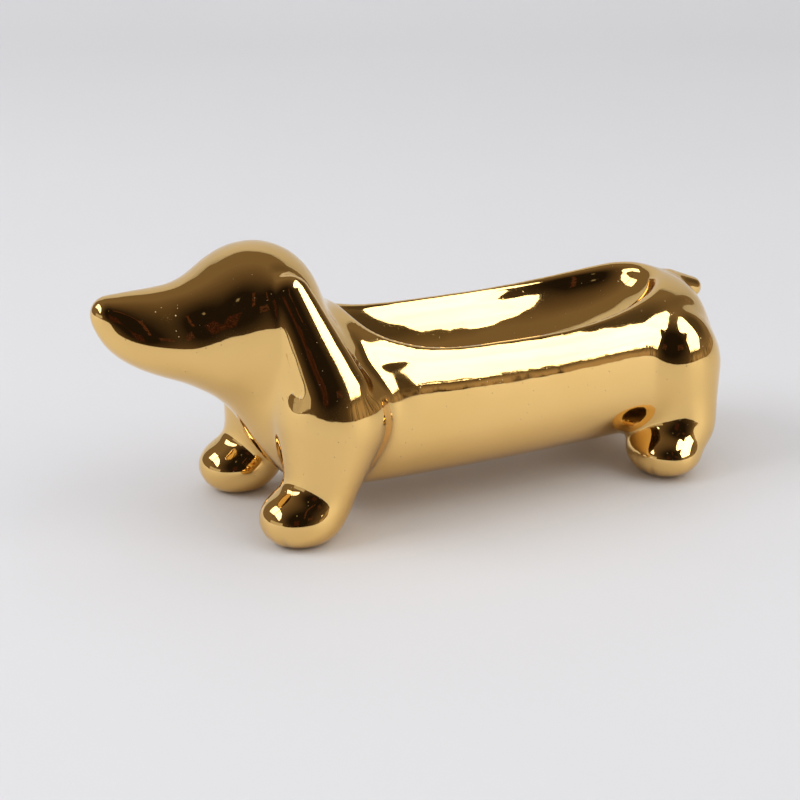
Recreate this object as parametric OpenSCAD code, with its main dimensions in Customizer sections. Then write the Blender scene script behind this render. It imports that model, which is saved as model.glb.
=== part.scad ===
// Ceramic dachshund figurine with a long dish scooped out of its back.
// Slip-cast hollow body and head, with ears, legs and tail stuck on.
// Millimetres. Nose toward -X, tail toward +X, up +Z, the dog's left side toward -Y.

/* [Body] */
// Full width of the body at its widest, leg bulges left out
body_w = 70; // [67:0.5:73]
// Thickness of the cast wall
wall = 4.5; // [3.5:0.25:5]
// How square the body's cross-section is: 2 is an oval, more is boxier
squareness = 2.4; // [2.2:0.1:2.7]

/* [Dish] */
// Length of the dish along the back
dish_len = 117; // [108:1:120]
// Width of the dish inside its rim
dish_w = 56; // [50:1:58]
// Depth of the dish below its highest point
dish_deep = 25; // [20:0.5:26]

/* [Head] */
// Full width of the head at its widest
head_w = 43; // [40:0.5:46]

/* [Ears] */
// Full thickness of an ear flap at its fattest
ear_thick = 13; // [11:0.5:15]

/* [Legs] */
// Full width of a paw
paw_w = 26; // [24:0.5:28]

/* [Tail] */
// Thickness of the tail stub at its root
tail_d = 9; // [7:0.5:10]

/* [Vent] */
// Bore of the firing vent under the belly
vent_d = 5; // [3:0.5:7]

/* [Hidden] */
$fn = 40;
kw = body_w / 71;
kh = head_w / 43;
ke = ear_thick / 13;
kp = paw_w / 26;
// Where the dish is deepest, the share of its length in front of that, and how blunt each end is
dish_x = 23;
dish_z = 64;
dish_ahead = 0.445;
blunt_ahead = 3.3;
blunt_behind = 2.2;
vent_x = 20;

gold = [0.85, 0.68, 0.32];

// Steps round half a section, from the belly up to the dish rim and from the rim to the middle
outer_steps = 11;
dish_steps = 8;
last = outer_steps + dish_steps;
count = 2 * last;

// A station is [bottom x, bottom z, top x, top z, half width, height of the widest line as a share]
// The seam where the head is stuck on leans from the throat up to the nape
seam = [-74, 39, -34, 67, 22, 0.5];

// Body stations from the neck seam back to the rump
body = [
    seam,
    [-70, 34, -33.5, 66.5, 24.5, 0.48],
    [-65.5, 29.5, -33, 66, 27, 0.46],
    [-61, 25, -32, 65.8, 29.2, 0.46],
    [-56, 19.5, -31, 65.6, 31, 0.48],
    [-50, 14, -29.5, 65.3, 32.6, 0.5],
    [-43, 11, -27, 65, 34, 0.52],
    [-34, 10, -23.5, 64.7, 34.7, 0.54],
    [-24, 10, -18, 64.3, 34.8, 0.54],
    [-12, 10, -9, 64, 35, 0.54],
    [0, 10, 0, 63.7, 35.2, 0.54],
    [10, 10.2, 10, 63.5, 35.4, 0.54],
    [20, 10.4, 20, 63.3, 35.5, 0.54],
    [30, 10.5, 30, 63.3, 35.5, 0.54],
    [40, 10.7, 40, 63.4, 35.3, 0.54],
    [50, 11, 50, 63.7, 35, 0.54],
    [60, 11.3, 60, 64, 34.6, 0.54],
    [68, 11.6, 68, 64.4, 34.2, 0.54],
    [75, 12, 75, 64.8, 33.6, 0.55],
    [82, 12.6, 82, 65.2, 32.7, 0.55],
    [88, 13.8, 88, 65.2, 31.4, 0.55],
    [93, 16, 93, 64, 29, 0.54],
    [97, 18.6, 97, 62, 26, 0.53],
    [100, 21.5, 100, 59.5, 22, 0.52],
    [102.5, 25.5, 102.5, 56, 17, 0.51],
    [104.3, 31, 104.3, 51, 11, 0.5],
    [105.2, 37, 105.2, 45, 4.5, 0.5]
];
// The cavity stops this many stations before the end of the rump
body_solid = 4;

// Head stations from the neck seam to the nose
head = [
    seam,
    [-77.5, 42, -36, 73, 21.5, 0.5],
    [-80.5, 44.5, -40.5, 80, 21.3, 0.5],
    [-83.5, 47, -47, 87.2, 20.5, 0.5],
    [-86.5, 49, -55, 90.8, 18.6, 0.5],
    [-90, 51, -64, 91, 16.6, 0.5],
    [-94, 53.5, -73, 88.6, 15, 0.48],
    [-98, 56.5, -81.5, 85, 13.6, 0.46],
    [-102, 59.7, -90, 82.3, 11.8, 0.46],
    [-106, 63.7, -98.5, 80.9, 9.2, 0.47],
    [-109, 67.8, -105, 80.3, 6.8, 0.5],
    [-110.6, 71.5, -109, 79.2, 4.2, 0.5],
    [-111, 74.5, -110.7, 77, 1.4, 0.5]
];
head_solid = 4;

// Ear rings: [x, distance out, z, half length along X, half thickness]
ear_rings = [
    [-57.4, 17.5, 83.5, 1.2, 0.8],
    [-57, 19.5, 80.5, 4.4, 2.8],
    [-55.6, 21.8, 75, 7, 4.6],
    [-54, 24, 69, 8.9, 5.6],
    [-52.4, 26, 62.5, 10.3, 6.2],
    [-50.6, 27.6, 56, 11.7, 6.5],
    [-48.8, 28.8, 50, 12.6, 6.4],
    [-47.8, 29.4, 45, 11.9, 5.9],
    [-47.4, 29.6, 41.5, 9.2, 4.6],
    [-47.2, 29.6, 39.4, 5.6, 2.9],
    [-47.2, 29.6, 38.6, 2, 1]
];

// Leg rings: [x, distance out, z, half length, half width], paw first
foreleg_rings = [
    [-56, 26.3, 0, 10.2, 9.4],
    [-56, 26.2, 1.6, 12, 11.2],
    [-56, 26.1, 4.5, 13.2, 12.3],
    [-55.6, 26, 8.5, 13.5, 12.6],
    [-54.6, 26, 12, 13.2, 12.3],
    [-52.6, 25.8, 15.5, 12.4, 11.8],
    [-50, 26, 19, 11.8, 11.8],
    [-47.6, 25.6, 23, 12.2, 12.4],
    [-45, 24.6, 28, 14, 14],
    [-43, 23.4, 33.5, 16, 16],
    [-42, 22.3, 39, 17.5, 17.5],
    [-41.6, 20.6, 44.5, 16, 16],
    [-41.6, 18, 49.5, 12.5, 12.5],
    [-41.6, 15, 53, 7, 7]
];
hind_leg_rings = [
    [80.3, 26.6, 0, 9.6, 9.6],
    [80.3, 26.6, 1.6, 11.6, 11.6],
    [80.4, 26.8, 4.5, 12.6, 13],
    [80.8, 26.8, 8.5, 13, 13.4],
    [81.6, 26.6, 12, 12.9, 13],
    [83.2, 26.2, 15.5, 12.4, 12.4],
    [85.2, 25.6, 19.5, 11.8, 12.2],
    [86.8, 24.6, 24, 12.6, 13],
    [87.2, 23, 29.5, 14.4, 14.6],
    [87.3, 21.2, 36, 15.5, 15.6],
    [87.2, 19.6, 42, 14, 14],
    [86.6, 18, 47, 9.5, 9.5],
    [86.2, 17, 49.5, 4.5, 4.5]
];

function power(v, e) = sign(v) * pow(abs(v), e);

// Height of the dish's inner face over a point, or far above where there is none
function dish_face(x, y, grow) =
    let (ahead = x < dish_x)
    let (run = (ahead ? dish_ahead : 1 - dish_ahead) * dish_len + grow)
    let (blunt = ahead ? blunt_ahead : blunt_behind)
    let (plan = pow(abs(x - dish_x) / run, blunt) + pow(abs(y) / (dish_w / 2 + grow), blunt))
    let (q = 1 - pow(plan, 2 / blunt))
    q > 0 ? dish_z - (dish_deep + grow) * sqrt(q) : 1000;

// One point of a section, moved inward by the wall
function section_point(s, a, side, inward, k) =
    let (low = [s[0], s[1]])
    let (run = [s[2], s[3]] - low)
    let (high = norm(run))
    let (dir = run / high)
    let (up = sin(a) > 0 ? high * (1 - s[5]) - inward : high * s[5] - inward)
    let (at = low + dir * (high * s[5] + up * power(sin(a), 2 / squareness)))
    let (y = side * (s[4] * k - inward) * power(cos(a), 2 / squareness))
    [at[0], y, at[1]];

// How far the section stands above the dish at an angle; below nought there is no dish there
function over_dish(s, a, inward, k) =
    let (p = section_point(s, a, 1, inward, k))
    p[2] - dish_face(p[0], p[1], inward);

function halve(s, inward, k, low, high, n) =
    let (mid = (low + high) / 2)
    n == 0 ? mid
    : over_dish(s, mid, inward, k) > 0 ? halve(s, inward, k, low, mid, n - 1)
    : halve(s, inward, k, mid, high, n - 1);

// The angle of the dish rim, or near the top where the section has no dish
function rim_angle(s, inward, k) =
    over_dish(s, 84, inward, k) > 0 ? min(76, halve(s, inward, k, 15, 84, 14)) : 76;

function angles(rim) = concat(
    [for (i = [0:outer_steps]) -90 + (rim + 90) * i / outer_steps],
    [for (i = [1:dish_steps]) rim + (90 - rim) * i / dish_steps]
);

function section(s, inward, k) =
    let (half = angles(rim_angle(s, inward, k)))
    [for (i = [0:count - 1])
        i <= last ? section_point(s, half[i], 1, inward, k)
                  : section_point(s, half[count - i], -1, inward, k)];

// The same section with the dish pressed into its top
function dished(s, inward, k) = [
    for (p = section(s, inward, k)) [p[0], p[1], min(p[2], dish_face(p[0], p[1], inward))]
];

function oval(r, side, k) = [
    for (i = [0:31]) [r[0] + r[3] * cos(i * 11.25), side * r[1] + r[4] * k * sin(i * 11.25), r[2]]
];

function backwards(list) = [for (i = [len(list) - 1:-1:0]) list[i]];

function slice(list, a, b) = [for (i = [a:b]) list[i]];

function first(list, n) = slice(list, 0, n - 1);

// A closed skin over a list of rings that all have the same number of points.
// The first half of a ring is split one way and the second half the other way, so that it mirrors.
module skin(rings) {
    n = len(rings[0]);
    m = len(rings);
    points = [for (r = rings) for (p = r) p];
    sides = [
        for (i = [0:m - 2]) for (j = [0:n - 1])
            let (a = i * n + j)
            let (b = i * n + (j + 1) % n)
            for (f = j < n / 2 ? [[a, b, b + n], [a, b + n, a + n]]
                               : [[a, b, a + n], [b, b + n, a + n]]) f
    ];
    start = [for (j = [0:n - 1]) n - 1 - j];
    end = [for (j = [0:n - 1]) (m - 1) * n + j];
    polyhedron(points = points, faces = concat(sides, [start], [end]), convexity = 6);
}

// The solid outer body between two stations, for cutting the pieces that sit on it
module torso_outer(a, b) {
    skin([for (s = backwards(slice(body, a, b))) dished(s, 0, s == seam ? 1 : kw)]);
}

module torso_shell() {
    rear = len(body) - body_solid;
    color(gold)
    difference() {
        skin(concat([for (s = backwards(body)) dished(s, 0, s == seam ? 1 : kw)],
                    [for (s = first(body, rear)) dished(s, wall, s == seam ? 1 : kw)]));
        translate([vent_x, 0, 0]) cylinder(d = vent_d, h = 20);
    }
}

// The outer head, neck and chest in one skin, so that nothing is left in the seam when the ears are cut
module front_outer() {
    skin(concat([for (s = backwards(slice(body, 0, 8))) dished(s, 0, s == seam ? 1 : kw)],
                [for (s = slice(head, 1, len(head) - 1)) section(s, 0, kh)]));
}

module head_shell() {
    front = len(head) - head_solid;
    inside = backwards(first(head, front));
    color(gold)
    skin(concat([for (s = inside) section(s, wall, s == seam ? 1 : kh)],
                [for (s = head) section(s, 0, s == seam ? 1 : kh)]));
}

module leg(rings) {
    skin([for (r = backwards(rings)) oval(r, -1, kp)]);
}

module ear_left() {
    color(gold)
    difference() {
        skin([for (r = ear_rings) oval(r, -1, ke)]);
        front_outer();
        leg(foreleg_rings);
    }
}

module foreleg_left() {
    color(gold)
    difference() {
        leg(foreleg_rings);
        torso_outer(0, 9);
    }
}

module hind_leg_left() {
    color(gold)
    difference() {
        leg(hind_leg_rings);
        torso_outer(16, len(body) - 1);
    }
}

// The right side mirrors the left
module ear_right() { mirror([0, 1, 0]) ear_left(); }
module foreleg_right() { mirror([0, 1, 0]) foreleg_left(); }
module hind_leg_right() { mirror([0, 1, 0]) hind_leg_left(); }

module tail() {
    color(gold)
    difference() {
        hull() {
            translate([97, 0, 58.5]) sphere(d = tail_d, $fn = 28);
            translate([107.3, 0, 55.6]) sphere(d = tail_d - 1.6, $fn = 28);
        }
        torso_outer(19, len(body) - 1);
    }
}

torso_shell();
head_shell();
ear_left();
ear_right();
foreleg_left();
foreleg_right();
hind_leg_left();
hind_leg_right();
tail();
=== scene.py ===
import math

import bpy
import numpy as np
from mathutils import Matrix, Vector


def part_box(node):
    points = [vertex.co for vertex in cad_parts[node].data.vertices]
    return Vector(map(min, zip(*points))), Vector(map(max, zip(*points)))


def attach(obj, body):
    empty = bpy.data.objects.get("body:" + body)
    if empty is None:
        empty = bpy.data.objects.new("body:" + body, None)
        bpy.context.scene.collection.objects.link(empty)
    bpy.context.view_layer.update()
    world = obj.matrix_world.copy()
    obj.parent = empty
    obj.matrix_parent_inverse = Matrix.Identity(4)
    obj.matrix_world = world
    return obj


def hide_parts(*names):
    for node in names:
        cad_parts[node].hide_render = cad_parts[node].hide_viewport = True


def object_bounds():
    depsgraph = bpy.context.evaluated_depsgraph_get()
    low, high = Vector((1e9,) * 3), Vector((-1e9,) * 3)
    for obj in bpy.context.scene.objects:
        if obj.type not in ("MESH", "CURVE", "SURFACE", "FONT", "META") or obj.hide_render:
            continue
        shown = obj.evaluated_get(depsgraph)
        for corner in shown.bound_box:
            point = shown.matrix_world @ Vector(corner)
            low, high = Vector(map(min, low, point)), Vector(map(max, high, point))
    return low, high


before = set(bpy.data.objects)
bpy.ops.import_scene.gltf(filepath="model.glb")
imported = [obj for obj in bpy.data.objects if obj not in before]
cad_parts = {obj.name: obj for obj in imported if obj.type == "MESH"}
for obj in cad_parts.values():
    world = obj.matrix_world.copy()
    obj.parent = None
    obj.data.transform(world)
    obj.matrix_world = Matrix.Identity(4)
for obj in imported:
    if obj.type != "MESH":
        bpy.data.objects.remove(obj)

cad_box = [list(corner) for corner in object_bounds()]

# Lengths in the shape functions are in millimetres; meshes are written in metres.
MM = 1000
# Spacing of the grid that the surfaces are found on.
STEP = 0.9
# What fills a grid point: air, a piece's number counted from 1, or the hollow inside.
AIR = 0
HOLLOW = 99

# ---------------------------------------------------------------- anchors


def middle(name):
    low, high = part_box(name)
    return (np.array(low) + np.array(high)) * MM / 2


HEAD = middle("head_shell")
BODY = middle("torso_shell")
EAR = middle("ear_left")
FORE = middle("foreleg_left")
HIND = middle("hind_leg_left")
TAIL = middle("tail")
FORE_PAW = FORE + np.array([-6.3, 0.9, -17.2])
HIND_PAW = HIND + np.array([-6.1, -1.0, -12.9])

# ---------------------------------------------------------------- shape tools


def vec(*values):
    return np.array(values, float)


def smooth_min(k, *fields):
    least = np.minimum.reduce(fields)
    return least - k * np.log(sum(np.exp((least - f) / k) for f in fields))


def smooth_max(k, *fields):
    return -smooth_min(k, *[-f for f in fields])


def rounded_cut(solid, tool, radius):
    """Takes a tool out of a solid and rounds the edge it leaves."""
    a = np.maximum(radius + solid, 0)
    b = np.maximum(radius - tool, 0)
    return np.minimum(-radius, np.maximum(solid, -tool)) + np.hypot(a, b)


def axes_along(direction, side):
    """Columns: along a direction, a side made square to it, and their normal."""
    d = vec(*direction)
    d = d / np.linalg.norm(d)
    s = vec(*side)
    s = s - d * (s @ d)
    s = s / np.linalg.norm(s)
    return np.stack([d, s, np.cross(d, s)], 1)


def ellipsoid(p, centre, radii, turn=None):
    q = p - centre
    if turn is not None:
        q = q @ turn
    r = vec(*radii)
    k0 = np.sqrt(((q / r) ** 2).sum(-1))
    k1 = np.sqrt(((q / (r * r)) ** 2).sum(-1))
    return k0 * (k0 - 1) / np.maximum(k1, 1e-9)


def round_cone(p, a, b, ra, rb):
    """A cone between two balls, with the balls on its ends."""
    run = b - a
    l2 = run @ run
    rr = ra - rb
    a2 = l2 - rr * rr
    pa = p - a
    y = pa @ run
    z = y - l2
    x2 = ((pa * l2 - y[..., None] * run) ** 2).sum(-1)
    y2 = y * y * l2
    z2 = z * z * l2
    k = np.sign(rr) * rr * rr * x2
    d = (np.sqrt(np.maximum(x2 * a2 / l2, 0)) + y * rr) / l2 - ra
    d = np.where(np.sign(z) * a2 * z2 > k, np.sqrt(x2 + z2) / l2 - rb, d)
    return np.where(np.sign(y) * a2 * y2 < k, np.sqrt(x2 + y2) / l2 - ra, d)


def blunt_oval(q, ax, ay, az, plan, side):
    """An oval solid whose plan and side views are more or less blunt than an ellipse."""
    u = np.abs(q[..., 0]) / ax
    v = np.abs(q[..., 1]) / ay
    w = np.abs(q[..., 2]) / az
    rho = np.maximum(u**plan + v**plan, 1e-12) ** (1 / plan)
    r = np.maximum(rho**side + w**side, 1e-12) ** (1 / side)
    a = (rho / r) ** (side - 1)
    gx = a * (u / rho) ** (plan - 1) / ax
    gy = a * (v / rho) ** (plan - 1) / ay
    gz = (w / r) ** (side - 1) / az
    return (r - 1) / np.maximum(np.sqrt(gx**2 + gy**2 + gz**2), 1e-3)


# ---------------------------------------------------------------- the dog's shape


def barrel(p, grow=0.0):
    """The long body, a little wider and lower in the middle."""
    q = p - BODY
    t = np.clip((q[..., 0] - 8.5) / 60, -1.5, 1.5)
    half = 34.5 - 3.0 * t * t + grow
    # the flanks draw in behind the shoulders
    half = half - 0.015 * np.clip(-31.5 - q[..., 0], 0, 25) ** 2
    low = 28.4 + grow
    high = 26.2 - 2.0 * t + 1.5 * t * t + grow
    up = q[..., 2] + 0.6 - 0.7 * t - 0.6 * t * t
    tall = np.where(up > 0, high, low)
    along = np.maximum(np.abs(q[..., 0] - 8.5) - 57, 0)
    return blunt_oval(np.stack([along, q[..., 1], up], -1), 25.0 + grow, half, tall, 2.5, 2.5)


def dish(p, grow=0.0):
    q = p - (BODY + vec(7.4, 0, 25.6))
    ahead = q[..., 0] < 0
    run = np.where(ahead, 52.5, 65.0) + grow
    plan = np.where(ahead, 3.3, 2.2)
    return blunt_oval(q, run, 28.0 + grow, 25.0 + grow, plan, 2.0)


def skull(p, grow=0.0):
    cranium = ellipsoid(p, HEAD + vec(13.8, 0, 5.2), (20.5 + grow, 20.6 + grow, 20.9 + grow))
    bridge = round_cone(p, HEAD + vec(-0.6, 0, 2.2), HEAD + vec(-33.6, 0, 9.9),
                        12.8 + grow, 5.1 + grow)
    jaw = ellipsoid(p, HEAD + vec(-16.1, 0, -1.5), (20.4 + grow, 13.9 + grow, 10.0 + grow),
                    axes_along((1, 0, -0.35), (0, 1, 0)))
    throat = round_cone(p, HEAD + vec(10.1, 0, -7.1), HEAD + vec(26.9, 0, -24.7),
                        15.4 + grow, 17.7 + grow)
    return smooth_min(5, cranium, smooth_min(3, bridge, jaw), throat)


def trunk(p, grow=0.0):
    chest = ellipsoid(p, BODY + vec(-52.0, 0, 0.6), (23.1 + grow, 30.1 + grow, 22.4 + grow))
    return smooth_min(4, barrel(p, grow), chest)


def foreleg(p):
    upper = FORE + vec(6.9, 4.3, 13.4)
    wrist = FORE + vec(1.4, 1.4, -8.8)
    shoulder = FORE + vec(4.5, 3.0, 18.2)
    column = round_cone(p, upper, wrist, 18.1, 10.7)
    column = np.minimum(column, round_cone(p, upper, shoulder, 18.1, 13.2))
    foot = ellipsoid(p, FORE_PAW, (13.2, 12.2, 9.6))
    return smooth_min(2.5, column, foot)


def hind_leg(p):
    hip = HIND + vec(2.0, 7.1, 13.8)
    ankle = HIND + vec(1.6, 0.9, -4.5)
    column = round_cone(p, hip, ankle, 15.7, 12.2)
    haunch = ellipsoid(p, HIND + vec(-0.5, 1.0, 16.0), (13.5, 11.6, 17.5))
    column = smooth_min(1.5, column, haunch)
    foot = ellipsoid(p, HIND_PAW - vec(0, 0, 1.4), (11.8, 14.0, 8.6))
    return smooth_min(2.5, column, foot)


def ear(p):
    """A flattened teardrop that hangs down the side of the head."""
    top = EAR + vec(-4.9, 6.6, 16.2)
    tip = EAR + vec(3.8, -6.0, -12.8)
    turn = axes_along(tip - top, (0.97, -0.24, 0))
    q = (p - top) @ turn
    q = q * vec(1, 1, 1.75)
    return round_cone(q, vec(0, 0, 0), vec(np.linalg.norm(tip - top), 0, 0), 6.3, 10.5) * 0.75


def stub(p):
    return round_cone(p, TAIL + vec(-5.6, 0, 0.9), TAIL + vec(4.0, 0, -2.3), 4.2, 3.6)


def left(p):
    """The dog is modelled on its left side and mirrored."""
    q = p.copy()
    q[..., 1] = -np.abs(q[..., 1])
    return q


WALL = 4.5
# The firing vent under the belly: its middle, radius, upper end, and the top of its glazed lip.
VENT = BODY + vec(4.4, 0, 0)
VENT_RADIUS = 2.5
VENT_TOP = 20
VENT_LIP = 10.5


def body_and_head(p, grow=0.0):
    return smooth_min(3, trunk(p, grow), skull(p, grow))


def packing(p):
    """Clay behind the ear and in front of the shoulder, where the joints are filled."""
    behind = round_cone(p, HEAD + vec(18.0, -9.0, 8.0), HEAD + vec(28.0, -19.0, -12.0),
                        10.0, 12.0)
    before = round_cone(p, HEAD + vec(21.5, -20.0, -7.5), HEAD + vec(26.0, -24.0, -22.0),
                        7.5, 12.0)
    return smooth_min(2, behind, before)


def cast(p, grow=0.0):
    """Body and head with the dish pressed in, before the legs, ears and tail go on."""
    along = np.clip(np.abs(p[..., 0] - BODY[0] - 7) / 50, 0, 1.1)
    lip = 2.3 + 1.0 * along * along
    return rounded_cut(body_and_head(p, grow), dish(p, -grow), lip)


def outside(p):
    """The whole figurine from outside, cut flat at the floor and bored for the vent."""
    q = left(p)
    pad = smooth_max(1.2, packing(q), -dish(q) - 2)
    whole = smooth_min(1.8, cast(q), foreleg(q), hind_leg(q), pad)
    whole = smooth_min(0.8, whole, ear(q), stub(q))
    whole = smooth_max(0.5, whole, -p[..., 2])
    bore = np.sqrt((p[..., 0] - VENT[0]) ** 2 + (p[..., 1] - VENT[1]) ** 2) - VENT_RADIUS
    bore = np.maximum(bore, p[..., 2] - VENT_TOP)
    return smooth_max(0.3, whole, -bore)


def cavity(p):
    """The hollow left by the slip that was poured out."""
    q = left(p)
    return cast(q, -WALL)


def neck_cut(p):
    """The sloping plane where the head is stuck on, below nought on the head's side."""
    throat = HEAD + vec(-1.5, 0, -26)
    nape = HEAD + vec(38.5, 0, 2)
    run = nape - throat
    out = vec(-run[2], 0, run[0]) / np.linalg.norm(run)
    return -((p - throat) @ out)


PIECES = ["torso_shell", "head_shell", "ear_left", "ear_right", "foreleg_left", "foreleg_right",
          "hind_leg_left", "hind_leg_right", "tail"]
# A claim so high that it never wins.
FAR = 1e3


def claims(p):
    """One field a piece, in the order of PIECES; a bit of clay belongs to the lowest."""
    q = left(p)
    shell = cast(q) + 0.4
    side = np.where(p[..., 1] < 0, 0.0, FAR)
    other = np.where(p[..., 1] < 0, FAR, 0.0)
    head = neck_cut(p)
    head = 0.3 * head / np.sqrt(0.09 + head * head)
    flap = np.maximum(ear(q) - 0.5, -shell) * 2
    fore = np.maximum(foreleg(q) - 1.5, -shell)
    hind = np.maximum(hind_leg(q) - 1.5, -shell)
    end = np.maximum(stub(q) - 0.8, -shell)
    return np.stack([0 * head, head, flap + side, flap + other, fore + side, fore + other,
                     hind + side, hind + other, end])


# ---------------------------------------------------------------- surface nets with shared seams

# Air kept round the CAD box, and how far the grid's layers sit off the floor, as a share of a step.
MARGIN = 4
OFF_FLOOR = 0.31
# A pair of labels is written as one number in this base.
PAIR_BASE = 16
NO_PAIR = 999


def slope(field, p, e=0.02):
    return np.stack([field(p + e * d) - field(p - e * d) for d in np.eye(3)], -1) / (2 * e)


def build_nets():
    """One net of four-sided faces between all the labels, so neighbours share their seams."""
    low = np.array(cad_box[0]) * MM - MARGIN
    high = np.array(cad_box[1]) * MM + MARGIN
    low[2] = -2 * STEP - OFF_FLOOR * STEP
    count = np.ceil((high - low) / STEP).astype(int) + 1
    grid = [low[i] + STEP * np.arange(count[i]) for i in range(3)]
    # keep the grid even about the mirror plane
    grid[1] = STEP * (np.arange(count[1]) - (count[1] - 1) / 2)
    nodes = np.stack(np.meshgrid(*grid, indexing="ij"), -1)
    skin = outside(nodes)
    hollow = cavity(nodes)
    claim = claims(nodes)
    label = np.argmin(claim, 0) + 1
    label[hollow < 0] = HOLLOW
    label[skin > 0] = AIR
    shape = np.array(label.shape)
    cells = shape - 1
    total = int(np.prod(cells))
    weight = np.zeros(total)
    place = np.zeros((total, 3))
    faces = []
    for axis in range(3):
        ahead = [slice(None)] * 3
        back = [slice(None)] * 3
        ahead[axis] = slice(1, None)
        back[axis] = slice(None, -1)
        a = label[tuple(back)]
        b = label[tuple(ahead)]
        i, j, k = np.nonzero((a != b) & (a % HOLLOW + b % HOLLOW > 0))
        at = np.stack([i, j, k], -1)
        la = a[i, j, k]
        lb = b[i, j, k]
        step = np.zeros(3, int)
        step[axis] = 1
        to = at + step
        fa = pair_value(skin, hollow, claim, at, la, lb)
        fb = pair_value(skin, hollow, claim, to, la, lb)
        t = np.clip(fa / np.where(np.abs(fa - fb) < 1e-9, 1e-9, fa - fb), 0.02, 0.98)
        spot = np.stack([grid[n][at[:, n]] for n in range(3)], -1)
        spot[:, axis] += STEP * t
        u, v = (axis + 1) % 3, (axis + 2) % 3
        ring = []
        inside = np.ones(len(at), bool)
        for du, dv in ((-1, -1), (0, -1), (0, 0), (-1, 0)):
            cell = at.copy()
            cell[:, u] += du
            cell[:, v] += dv
            ok = ((cell >= 0) & (cell < cells)).all(1)
            inside &= ok
            flat = np.ravel_multi_index(np.clip(cell, 0, cells - 1).T, cells)
            ring.append(flat)
            weight += np.bincount(flat[ok], minlength=total)
            for n in range(3):
                place[:, n] += np.bincount(flat[ok], weights=spot[ok, n], minlength=total)
        quad = np.stack(ring, -1)
        faces.append((quad[inside], la[inside], lb[inside]))
    quads = np.concatenate([f[0] for f in faces])
    la = np.concatenate([f[1] for f in faces])
    lb = np.concatenate([f[2] for f in faces])
    used, index = np.unique(quads, return_inverse=True)
    quads = index.reshape(quads.shape)
    points = place[used] / weight[used][:, None]
    return points, quads, la, lb


def pair_value(skin, hollow, claim, at, la, lb):
    """The field whose zero lies between two labels, positive on the first one's side."""
    i, j, k = at.T
    s = skin[i, j, k]
    h = hollow[i, j, k]
    value = np.where(la == AIR, s, 0.0)
    value = np.where(lb == AIR, -s, value)
    value = np.where((la == HOLLOW) & (lb != AIR), -h, value)
    value = np.where((lb == HOLLOW) & (la != AIR), h, value)
    both = (la % HOLLOW > 0) & (lb % HOLLOW > 0)
    most = len(PIECES) - 1
    ca = claim[np.clip(la - 1, 0, most), i, j, k]
    cb = claim[np.clip(lb - 1, 0, most), i, j, k]
    return np.where(both, cb - ca, value)


def wavy(p):
    """Slow unevenness of a glaze fired on a hand-finished cast, in millimetres."""
    x, y, z = p[..., 0], p[..., 1], p[..., 2]
    a = np.sin(0.62 * x + 1.3 * np.sin(0.21 * y + 0.4) + 0.35 * z)
    b = np.sin(0.55 * y - 0.38 * x + 1.1 * np.sin(0.19 * z + 1.7))
    c = np.sin(0.71 * z + 0.29 * y + 1.2 * np.sin(0.17 * x + 2.2))
    return 0.010 * (a + b + c)


def toes(p):
    """Two short grooves low on the front of each paw."""
    q = left(p)
    depth = 0 * q[..., 0]
    for paw in (FORE_PAW, HIND_PAW):
        turn = np.radians(22)
        d = q - paw
        fore = -d[..., 0] * np.cos(turn) - d[..., 1] * np.sin(turn)
        side = d[..., 0] * np.sin(turn) - d[..., 1] * np.cos(turn)
        reach = np.hypot(fore, side)
        angle = np.degrees(np.arctan2(side, fore))
        near = np.exp(-((reach - 11) / 6) ** 2) * np.exp(-((p[..., 2] - 4.0) / 3.4) ** 2)
        for at in (-15, 15):
            depth = depth + 0.42 * near * np.exp(-((angle - at) / 4.5) ** 2)
    return depth


def finished(p):
    """The fired surface: the smooth shape plus toe grooves and a slight waviness."""
    low = np.clip(p[..., 2] / 1.5, 0, 1)
    return outside(p) + (toes(p) + wavy(p)) * low


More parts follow.
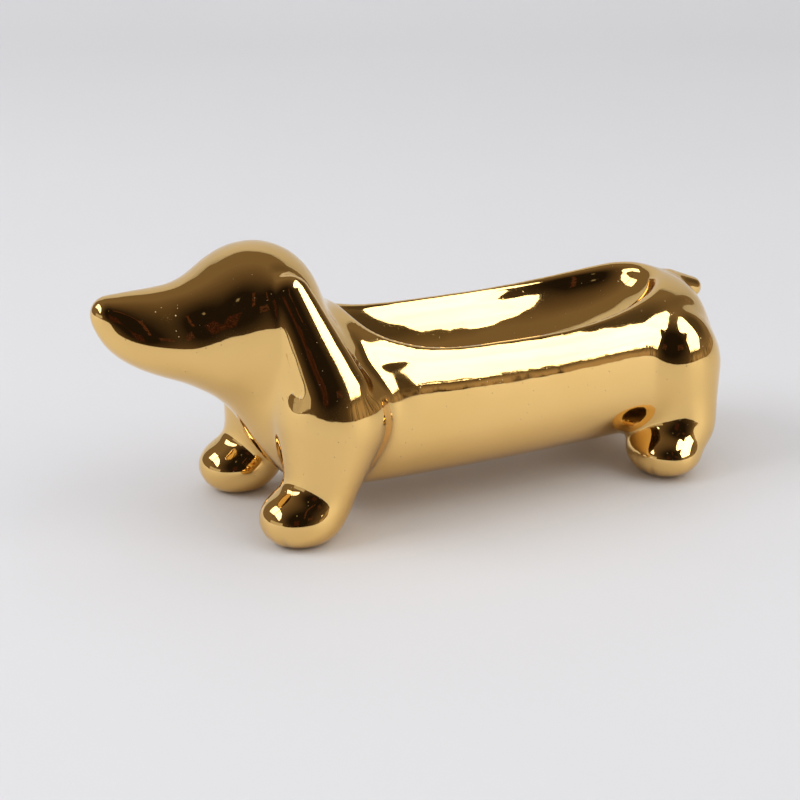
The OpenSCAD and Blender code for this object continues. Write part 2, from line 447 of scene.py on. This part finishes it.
def settle(points, quads, la, lb):
    """Moves every point onto the surfaces that meet there."""
    n = len(points)
    on_skin = np.zeros(n, bool)
    on_hollow = np.zeros(n, bool)
    least = np.full(n, NO_PAIR)
    most = np.zeros(n, int)
    skin_face = (la == AIR) | (lb == AIR)
    hollow_face = (la == HOLLOW) | (lb == HOLLOW)
    seam_face = ~skin_face & ~hollow_face
    on_skin[quads[skin_face].ravel()] = True
    on_hollow[quads[hollow_face].ravel()] = True
    pair = np.minimum(la, lb) * PAIR_BASE + np.maximum(la, lb)
    for c in range(4):
        np.minimum.at(least, quads[seam_face, c], pair[seam_face])
        np.maximum.at(most, quads[seam_face, c], pair[seam_face])
    # where three pieces meet the point is left to the skin alone
    on_seam = least == most
    first = least // PAIR_BASE
    second = most % PAIR_BASE
    start = points.copy()

    def seam(p, who):
        c = claims(p)
        r = np.arange(len(p))
        return c[first[who] - 1, r] - c[second[who] - 1, r]

    groups = [(np.nonzero(on_seam)[0], None), (np.nonzero(on_hollow & ~on_skin)[0], cavity),
              (np.nonzero(on_skin)[0], finished)]
    for _ in range(3):
        for who, field in groups:
            p = points[who]
            if field is None:
                def field(q, who=who):
                    return seam(q, who)
            f = field(p)
            g = slope(field, p)
            g2 = np.maximum((g * g).sum(-1), 0.05)
            move = -(f / g2)[:, None] * g
            size = np.linalg.norm(move, axis=1, keepdims=True)
            points[who] = p + move * np.minimum(1, 0.6 * STEP / np.maximum(size, 1e-9))
    # seam points on the skin have to lie on both surfaces at once
    who = np.nonzero(on_seam & on_skin)[0]
    for _ in range(4):
        p = points[who]
        g1 = slope(finished, p)
        f1 = finished(p)

        def field(q):
            return seam(q, who)
        g2 = slope(field, p)
        f2 = field(p)
        a = (g1 * g1).sum(-1)
        b = (g1 * g2).sum(-1)
        c = (g2 * g2).sum(-1)
        det = a * c - b * b
        good = det > 0.05 * a * c
        det = np.where(good, det, 1)
        x = -(f1 * c - f2 * b) / det
        y = -(f2 * a - f1 * b) / det
        move = x[:, None] * g1 + y[:, None] * g2
        only = -(f1 / np.maximum(a, 0.05))[:, None] * g1
        move = np.where(good[:, None], move, only)
        size = np.linalg.norm(move, axis=1, keepdims=True)
        points[who] = p + move * np.minimum(1, 0.5 * STEP / np.maximum(size, 1e-9))
    drift = points - start
    size = np.linalg.norm(drift, axis=1, keepdims=True)
    points[:] = start + drift * np.minimum(1, 1.2 * STEP / np.maximum(size, 1e-9))
    # soles are made dead flat
    flat = on_skin & (points[:, 2] < 0.12)
    points[flat, 2] = 0.0
    return on_skin, on_hollow


def unit(v):
    return v / np.maximum(np.linalg.norm(v, axis=-1, keepdims=True), 1e-9)


# ---------------------------------------------------------------- materials


def new_material(name):
    m = bpy.data.materials.new(name)
    m.use_nodes = True
    tree = m.node_tree
    shader = tree.nodes["Principled BSDF"]
    return m, tree, shader


def node(tree, kind, **values):
    n = tree.nodes.new(kind)
    for key, value in values.items():
        if key in n.inputs:
            n.inputs[key].default_value = value
        else:
            setattr(n, key, value)
    return n


def ramp(tree, source, stops):
    r = tree.nodes.new("ShaderNodeValToRGB")
    tree.links.new(source, r.inputs[0])
    e = r.color_ramp.elements
    while len(e) < len(stops):
        e.new(0.5)
    for spot, (pos, colour) in zip(e, stops):
        spot.position = pos
        spot.color = colour
    return r.outputs[0]


def grey(v):
    return (v, v, v, 1)


def gold_material():
    m, tree, shader = new_material("gold_lustre")
    coords = node(tree, "ShaderNodeTexCoord")
    here = coords.outputs["Object"]
    shader.inputs["Metallic"].default_value = 1.0
    # Colour: pale gold, a shade redder in slow patches.
    slow = node(tree, "ShaderNodeTexNoise", Scale=28.0, Detail=2.0)
    tree.links.new(here, slow.inputs["Vector"])
    tint = ramp(tree, slow.outputs["Fac"], [(0.35, (0.83, 0.545, 0.195, 1)),
                                            (0.65, (0.86, 0.57, 0.215, 1))])
    # Dust and pinholes: tiny dull specks scattered unevenly.
    speck = node(tree, "ShaderNodeTexVoronoi", Scale=430.0)
    tree.links.new(here, speck.inputs["Vector"])
    dot = ramp(tree, speck.outputs["Distance"], [(0.06, grey(1)), (0.10, grey(0))])
    where = node(tree, "ShaderNodeTexNoise", Scale=420.0, Detail=1.0)
    tree.links.new(here, where.inputs["Vector"])
    some = ramp(tree, where.outputs["Fac"], [(0.45, grey(0)), (0.55, grey(1))])
    both = node(tree, "ShaderNodeMath", operation="MULTIPLY")
    tree.links.new(dot, both.inputs[0])
    tree.links.new(some, both.inputs[1])
    mix = node(tree, "ShaderNodeMix", data_type="RGBA")
    tree.links.new(both.outputs[0], mix.inputs["Factor"])
    tree.links.new(tint, mix.inputs["A"])
    mix.inputs["B"].default_value = (0.55, 0.42, 0.25, 1)
    tree.links.new(mix.outputs["Result"], shader.inputs["Base Color"])
    # Roughness: a mirror, with a faint haze in patches and round the specks.
    haze = node(tree, "ShaderNodeTexNoise", Scale=60.0, Detail=4.0)
    tree.links.new(here, haze.inputs["Vector"])
    rough = node(tree, "ShaderNodeMapRange")
    rough.inputs["From Min"].default_value = 0.35
    rough.inputs["From Max"].default_value = 0.7
    rough.inputs["To Min"].default_value = 0.035
    rough.inputs["To Max"].default_value = 0.075
    tree.links.new(haze.outputs["Fac"], rough.inputs["Value"])
    add = node(tree, "ShaderNodeMath", operation="MULTIPLY_ADD")
    tree.links.new(both.outputs[0], add.inputs[0])
    add.inputs[1].default_value = 0.35
    tree.links.new(rough.outputs["Result"], add.inputs[2])
    tree.links.new(add.outputs[0], shader.inputs["Roughness"])
    # Relief: orange peel of the glaze and the specks themselves.
    peel = node(tree, "ShaderNodeTexNoise", Scale=260.0, Detail=2.0)
    tree.links.new(here, peel.inputs["Vector"])
    relief = node(tree, "ShaderNodeMath", operation="MULTIPLY_ADD")
    tree.links.new(both.outputs[0], relief.inputs[0])
    relief.inputs[1].default_value = -3.0
    tree.links.new(peel.outputs["Fac"], relief.inputs[2])
    bump = node(tree, "ShaderNodeBump", Strength=0.06, Distance=0.0003)
    tree.links.new(relief.outputs[0], bump.inputs["Height"])
    tree.links.new(bump.outputs["Normal"], shader.inputs["Normal"])
    return m


def bisque_material():
    m, tree, shader = new_material("bare_clay")
    coords = node(tree, "ShaderNodeTexCoord")
    grain = node(tree, "ShaderNodeTexNoise", Scale=900.0, Detail=5.0)
    tree.links.new(coords.outputs["Object"], grain.inputs["Vector"])
    tint = ramp(tree, grain.outputs["Fac"], [(0.3, (0.62, 0.57, 0.50, 1)),
                                             (0.7, (0.78, 0.74, 0.67, 1))])
    tree.links.new(tint, shader.inputs["Base Color"])
    shader.inputs["Roughness"].default_value = 0.85
    bump = node(tree, "ShaderNodeBump", Strength=0.25, Distance=0.0002)
    tree.links.new(grain.outputs["Fac"], bump.inputs["Height"])
    tree.links.new(bump.outputs["Normal"], shader.inputs["Normal"])
    return m


# ---------------------------------------------------------------- pieces

points, quads, la, lb = build_nets()
on_skin, on_hollow = settle(points, quads, la, lb)
skin_normal = np.zeros_like(points)
skin_normal[on_skin] = unit(slope(finished, points[on_skin]))
hollow_normal = np.zeros_like(points)
hollow_normal[on_hollow] = -unit(slope(cavity, points[on_hollow]))

gold = gold_material()
bisque = bisque_material()


def make_piece(number, name):
    """One piece's share of the net, glazed outside and bare clay where no glaze would be."""
    forward = la == number
    backward = lb == number
    q = np.concatenate([quads[forward], quads[backward][:, ::-1]])
    other = np.concatenate([lb[forward], la[backward]])
    used, index = np.unique(q, return_inverse=True)
    q = index.reshape(q.shape)
    mesh = bpy.data.meshes.new(name)
    mesh.from_pydata((points[used] / MM).tolist(), [], q.tolist())
    corner = q.ravel()
    kind = np.repeat(other, 4)
    p = points[used]
    a = p[q[:, 0]] - p[q[:, 2]]
    b = p[q[:, 1]] - p[q[:, 3]]
    face_normal = unit(np.cross(a, b))
    normals = np.repeat(face_normal, 4, 0)
    on = kind == AIR
    normals[on] = skin_normal[used][corner[on]]
    on = kind == HOLLOW
    normals[on] = hollow_normal[used][corner[on]]
    sole = (other == AIR) & (p[q][:, :, 2].max(1) < 1e-6)
    normals[np.repeat(sole, 4)] = (0, 0, -1)
    spot = p[q].mean(1)
    in_vent = np.hypot(spot[:, 0] - VENT[0], spot[:, 1] - VENT[1]) < VENT_RADIUS + 0.1
    in_vent &= (spot[:, 2] < VENT_TOP) & (spot[:, 2] > VENT_LIP)
    clay = (other != AIR) | sole | in_vent
    mesh.materials.append(gold)
    mesh.materials.append(bisque)
    mesh.polygons.foreach_set("material_index", clay.astype(np.int32))
    mesh.polygons.foreach_set("use_smooth", np.ones(len(q), bool))
    mesh.validate()
    mesh.update()
    mesh.normals_split_custom_set(normals)
    piece = bpy.data.objects.new(name + "_glazed", mesh)
    bpy.context.scene.collection.objects.link(piece)
    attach(piece, "root")
    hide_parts(name)


for i, name in enumerate(PIECES):
    make_piece(i + 1, name)

# ---------------------------------------------------------------- stage, lights and camera


def stage_material(name, colour):
    m, tree, shader = new_material(name)
    coords = node(tree, "ShaderNodeTexCoord")
    mottle = node(tree, "ShaderNodeTexNoise", Scale=3.0, Detail=3.0)
    tree.links.new(coords.outputs["Object"], mottle.inputs["Vector"])
    dark = [c * 0.985 for c in colour] + [1]
    tint = ramp(tree, mottle.outputs["Fac"], [(0.3, dark), (0.7, list(colour) + [1])])
    tree.links.new(tint, shader.inputs["Base Color"])
    shader.inputs["Roughness"].default_value = 0.6
    shader.inputs["Specular IOR Level"].default_value = 0.25
    return m


def sheet_object(name, verts, faces, material):
    mesh = bpy.data.meshes.new(name)
    mesh.from_pydata(verts, [], faces)
    mesh.polygons.foreach_set("use_smooth", np.ones(len(faces), bool))
    mesh.materials.append(material)
    thing = bpy.data.objects.new(name, mesh)
    bpy.context.scene.collection.objects.link(thing)


def direction(azimuth, elevation):
    """Azimuth is measured from straight in front of the dog's left side, in degrees."""
    a, e = math.radians(azimuth), math.radians(elevation)
    return Vector((math.sin(a) * math.cos(e), -math.cos(a) * math.cos(e), math.sin(e)))


CAMERA_SIDE = -26.9
CAMERA_UP = 19.6
CAMERA_AWAY = 0.621


def sweep():
    """A table, square to the camera, with paper that curves up behind it."""
    back = 0.9
    bend = 0.4
    steps = 12
    profile = [(-0.52, 0.0), (back, 0.0)]
    for i in range(1, steps + 1):
        t = math.radians(90 * i / steps)
        profile.append((back + bend * math.sin(t), bend * (1 - math.cos(t))))
    profile.append((back + bend, 1.8))
    turn = math.radians(CAMERA_SIDE)
    along = Vector((math.cos(turn), math.sin(turn), 0))
    away = Vector((-math.sin(turn), math.cos(turn), 0))
    verts = [along * x + away * y + Vector((0, 0, z)) for y, z in profile for x in (-1.3, 1.3)]
    faces = [(2 * i, 2 * i + 1, 2 * i + 3, 2 * i + 2) for i in range(len(profile) - 1)]
    sheet_object("floor", verts, faces, stage_material("paper", (0.74, 0.74, 0.755)))


def aim(thing, azimuth, elevation, distance):
    """Places a lamp or panel in a direction and turns it to the middle of the dog."""
    back = direction(azimuth, elevation)
    thing.location = back * distance + Vector((0, 0, 0.045))
    thing.rotation_mode = "QUATERNION"
    thing.rotation_quaternion = back.to_track_quat("Z", "Y")


def area_light(name, azimuth, elevation, distance, wide, tall, power, colour):
    """Light for the paper only; the gold reflects the panels instead."""
    data = bpy.data.lights.new(name, "AREA")
    data.shape = "RECTANGLE"
    data.size = wide
    data.size_y = tall
    data.energy = power
    data.color = colour
    lamp = bpy.data.objects.new(name, data)
    aim(lamp, azimuth, elevation, distance)
    lamp.visible_glossy = False
    lamp.visible_camera = False
    bpy.context.scene.collection.objects.link(lamp)


# A panel weaker than this stands for furniture, not for a lamp.
DIM = 0.2


def glow_material(name, strength, colour, ragged):
    """A lit panel; a ragged one breaks up towards its lower edge, and a dim one is mottled."""
    m = bpy.data.materials.new(name)
    m.use_nodes = True
    tree = m.node_tree
    tree.nodes.remove(tree.nodes["Principled BSDF"])
    result = tree.nodes["Material Output"]
    coords = node(tree, "ShaderNodeTexCoord")
    glow = node(tree, "ShaderNodeEmission", Strength=strength)
    cloud = node(tree, "ShaderNodeTexNoise", Scale=2.5, Detail=2.0)
    tree.links.new(coords.outputs["Object"], cloud.inputs["Vector"])
    dim = [c * 0.86 for c in colour] + [1]
    if strength < DIM:
        cloud.inputs["Scale"].default_value = 22.0
        dim = [c * 0.1 for c in colour] + [1]
    tint = ramp(tree, cloud.outputs["Fac"], [(0.38, dim), (0.6, list(colour) + [1])])
    tree.links.new(tint, glow.inputs["Color"])
    if not ragged:
        tree.links.new(glow.outputs[0], result.inputs["Surface"])
        return m
    stretch = node(tree, "ShaderNodeMapping", Scale=(1.0, 0.16, 1.0))
    tree.links.new(coords.outputs["Object"], stretch.inputs["Vector"])
    edge = node(tree, "ShaderNodeTexNoise", Scale=26.0, Detail=3.0, Roughness=0.6)
    tree.links.new(stretch.outputs[0], edge.inputs["Vector"])
    apart = node(tree, "ShaderNodeSeparateXYZ")
    tree.links.new(coords.outputs["Object"], apart.inputs[0])
    lift = node(tree, "ShaderNodeMath", operation="MULTIPLY_ADD")
    tree.links.new(edge.outputs["Fac"], lift.inputs[0])
    lift.inputs[1].default_value = ragged
    tree.links.new(apart.outputs["Y"], lift.inputs[2])
    cut = node(tree, "ShaderNodeMath", operation="GREATER_THAN")
    tree.links.new(lift.outputs[0], cut.inputs[0])
    cut.inputs[1].default_value = -0.56
    clear = node(tree, "ShaderNodeBsdfTransparent")
    both = node(tree, "ShaderNodeMixShader")
    tree.links.new(cut.outputs[0], both.inputs[0])
    tree.links.new(clear.outputs[0], both.inputs[1])
    tree.links.new(glow.outputs[0], both.inputs[2])
    tree.links.new(both.outputs[0], result.inputs["Surface"])
    return m


def panel(name, azimuth, elevation, distance, outline, strength, colour, ragged=0.0):
    """A flat panel that only shows in reflections; its outline is in units of its distance."""
    mesh = bpy.data.meshes.new(name)
    mesh.from_pydata([(x * distance, y * distance, 0) for x, y in outline], [], [range(len(outline))])
    mesh.materials.append(glow_material(name, strength, colour, ragged))
    thing = bpy.data.objects.new(name, mesh)
    aim(thing, azimuth, elevation, distance)
    bpy.context.scene.collection.objects.link(thing)
    thing.visible_camera = False
    thing.visible_diffuse = False
    thing.visible_shadow = False


def box_outline(wide, tall):
    return [(-wide / 2, -tall / 2), (wide / 2, -tall / 2), (wide / 2, tall / 2), (-wide / 2, tall / 2)]


def make_world():
    """Pale to the camera, soft grey to the paper, and a dim brown room in reflections."""
    world = bpy.data.worlds.new("studio")
    bpy.context.scene.world = world
    world.use_nodes = True
    tree = world.node_tree
    coords = node(tree, "ShaderNodeTexCoord")
    here = coords.outputs["Generated"]

    def towards(azimuth, elevation):
        n = node(tree, "ShaderNodeVectorMath", operation="DOT_PRODUCT")
        tree.links.new(here, n.inputs[0])
        n.inputs[1].default_value = direction(azimuth, elevation)
        return n.outputs["Value"]

    def mixed(kind, factor, a, b):
        n = node(tree, "ShaderNodeMix", data_type="RGBA", blend_type=kind)
        for slot, value in (("Factor", factor), ("A", a), ("B", b)):
            if isinstance(value, bpy.types.NodeSocket):
                tree.links.new(value, n.inputs[slot])
            else:
                n.inputs[slot].default_value = value
        return n.outputs["Result"]

    ceiling = ramp(tree, towards(-25, 26), [(0.30, (0.21, 0.16, 0.11, 1)),
                                            (0.72, (0.10, 0.07, 0.045, 1)),
                                            (0.93, (0.014, 0.010, 0.008, 1))])
    shade = ramp(tree, towards(70, 40), [(0.86, grey(1)), (0.97, grey(0.4))])
    room = mixed("MULTIPLY", 1.0, ceiling, shade)
    # a warm strip of room beyond the right-hand end of the table
    apart = node(tree, "ShaderNodeSeparateXYZ")
    tree.links.new(here, apart.inputs[0])
    low = ramp(tree, apart.outputs["Z"], [(0.04, grey(1)), (0.14, grey(0))])
    side = ramp(tree, towards(62, 0), [(0.60, grey(0)), (0.80, grey(1))])
    tall = node(tree, "ShaderNodeMapping", Scale=(1.0, 1.0, 0.15))
    tree.links.new(here, tall.inputs["Vector"])
    mottle = node(tree, "ShaderNodeTexNoise", Scale=32.0, Detail=3.0)
    tree.links.new(tall.outputs[0], mottle.inputs["Vector"])
    strip = ramp(tree, mottle.outputs["Fac"], [(0.40, (0.05, 0.03, 0.02, 1)),
                                               (0.52, (0.46, 0.35, 0.24, 1))])
    where = mixed("MULTIPLY", 1.0, low, side)
    room = mixed("MIX", where, room, strip)
    path = node(tree, "ShaderNodeLightPath")
    seen = mixed("MIX", path.outputs["Is Glossy Ray"], (0.46, 0.46, 0.47, 1), room)
    seen = mixed("MIX", path.outputs["Is Camera Ray"], seen, (0.68, 0.68, 0.70, 1))
    tree.links.new(seen, tree.nodes["Background"].inputs["Color"])


sweep()
make_world()
# name, azimuth, elevation, distance, width, height, power, colour
area_light("key_fill", 35, 42, 1.6, 1.3, 1.3, 7, (1.0, 0.98, 0.95))
area_light("window_fill", -105, 38, 1.6, 1.2, 0.9, 11.5, (0.97, 0.98, 1.0))
area_light("overhead", 150, 84, 1.7, 2.4, 2.4, 9.5, (1.0, 0.99, 0.98))

# Outlines: x runs towards larger azimuths, y up.
KEY = [(-0.34, -0.62), (0.20, -0.60), (0.34, -0.30), (0.28, 0.03), (0.26, 0.2), (0.32, 0.45),
       (0.37, 0.56), (0.30, 0.62), (0.16, 0.57), (-0.02, 0.49), (-0.26, 0.32), (-0.33, 0.2),
       (-0.28, 0.12), (-0.14, 0.07), (-0.13, 0.0), (-0.32, -0.16)]
# name, azimuth, elevation, distance, outline, strength, colour
panel("softbox", 35, 40, 1.6, KEY, 4.6, (1.0, 0.98, 0.94), ragged=0.7)
WINDOW = [(-0.50, -0.14), (0.0, -0.10), (0.40, -0.26), (0.36, -0.05), (0.2, 0.12), (-0.1, 0.2),
          (-0.45, 0.16)]
panel("window", -103, 33, 1.6, WINDOW, 3.6, (0.98, 0.99, 1.0))
panel("window_bar", -108, 33, 1.55, box_outline(0.03, 0.5), 0.05, (0.8, 0.7, 0.6))
panel("left_wall", -88, 4, 1.7, box_outline(0.70, 0.20), 0.60, (1.0, 0.95, 0.9))
panel("tall_lamp", -15, 37, 1.5, box_outline(0.05, 0.34), 0.13, (1.0, 0.42, 0.26))
panel("chair", -32, 13, 1.5, box_outline(0.20, 0.30), 0.07, (1.0, 0.38, 0.25))
panel("stool", -2, 20, 1.5, box_outline(0.18, 0.16), 0.10, (1.0, 0.48, 0.34))
panel("far_lamp", -36, 39, 1.5, box_outline(0.05, 0.06), 0.30, (1.0, 0.95, 0.85))

centre = (np.array(cad_box[0]) + np.array(cad_box[1])) / 2
target = Vector(centre) + Vector((-0.0201, -0.025, -0.0043))
lens = bpy.data.cameras.new("camera")
# millimetres
lens.sensor_width = 36
lens.lens = 88.46
eye = bpy.data.objects.new("camera", lens)
back = direction(CAMERA_SIDE, CAMERA_UP)
eye.location = target + back * CAMERA_AWAY
eye.rotation_mode = "QUATERNION"
eye.rotation_quaternion = back.to_track_quat("Z", "Y")
bpy.context.scene.collection.objects.link(eye)
bpy.context.scene.camera = eye

view = bpy.context.scene.view_settings
view.view_transform = "Standard"
